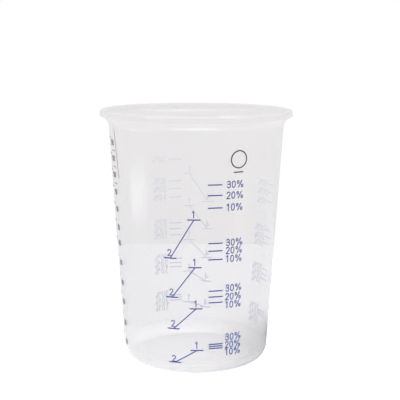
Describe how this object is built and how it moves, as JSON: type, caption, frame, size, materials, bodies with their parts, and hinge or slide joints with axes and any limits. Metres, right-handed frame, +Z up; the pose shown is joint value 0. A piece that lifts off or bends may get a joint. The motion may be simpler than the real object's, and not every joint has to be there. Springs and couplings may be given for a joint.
{
  "type": "resin mixing cup",
  "caption": "Tall tapered translucent mixing cup with a turned-down lip, rounded base and printed mixing and volume scales.",
  "frame": {"origin": "centre of the foot ring on the standing surface, on the cup's axis", "axes": "+Z up along the cup's axis of revolution, the front mixing scale faces -Y, +X to the right seen from the front"},
  "size_m": [0.126, 0.126, 0.166],
  "materials": {
    "translucent_pp": "injection-moulded translucent natural polypropylene, satin gloss",
    "blue_ink": "screen-printed dark blue ink, satin",
    "dark_ink": "screen-printed dark grey ink, satin"
  },
  "bodies": {
    "root": {"cup": "translucent_pp", "front_ratio_print": "blue_ink", "side_ratio_print": "blue_ink", "back_ratio_print": "blue_ink", "volume_print": "dark_ink", "round_mark_print": "dark_ink"}
  },
  "joints": []
}
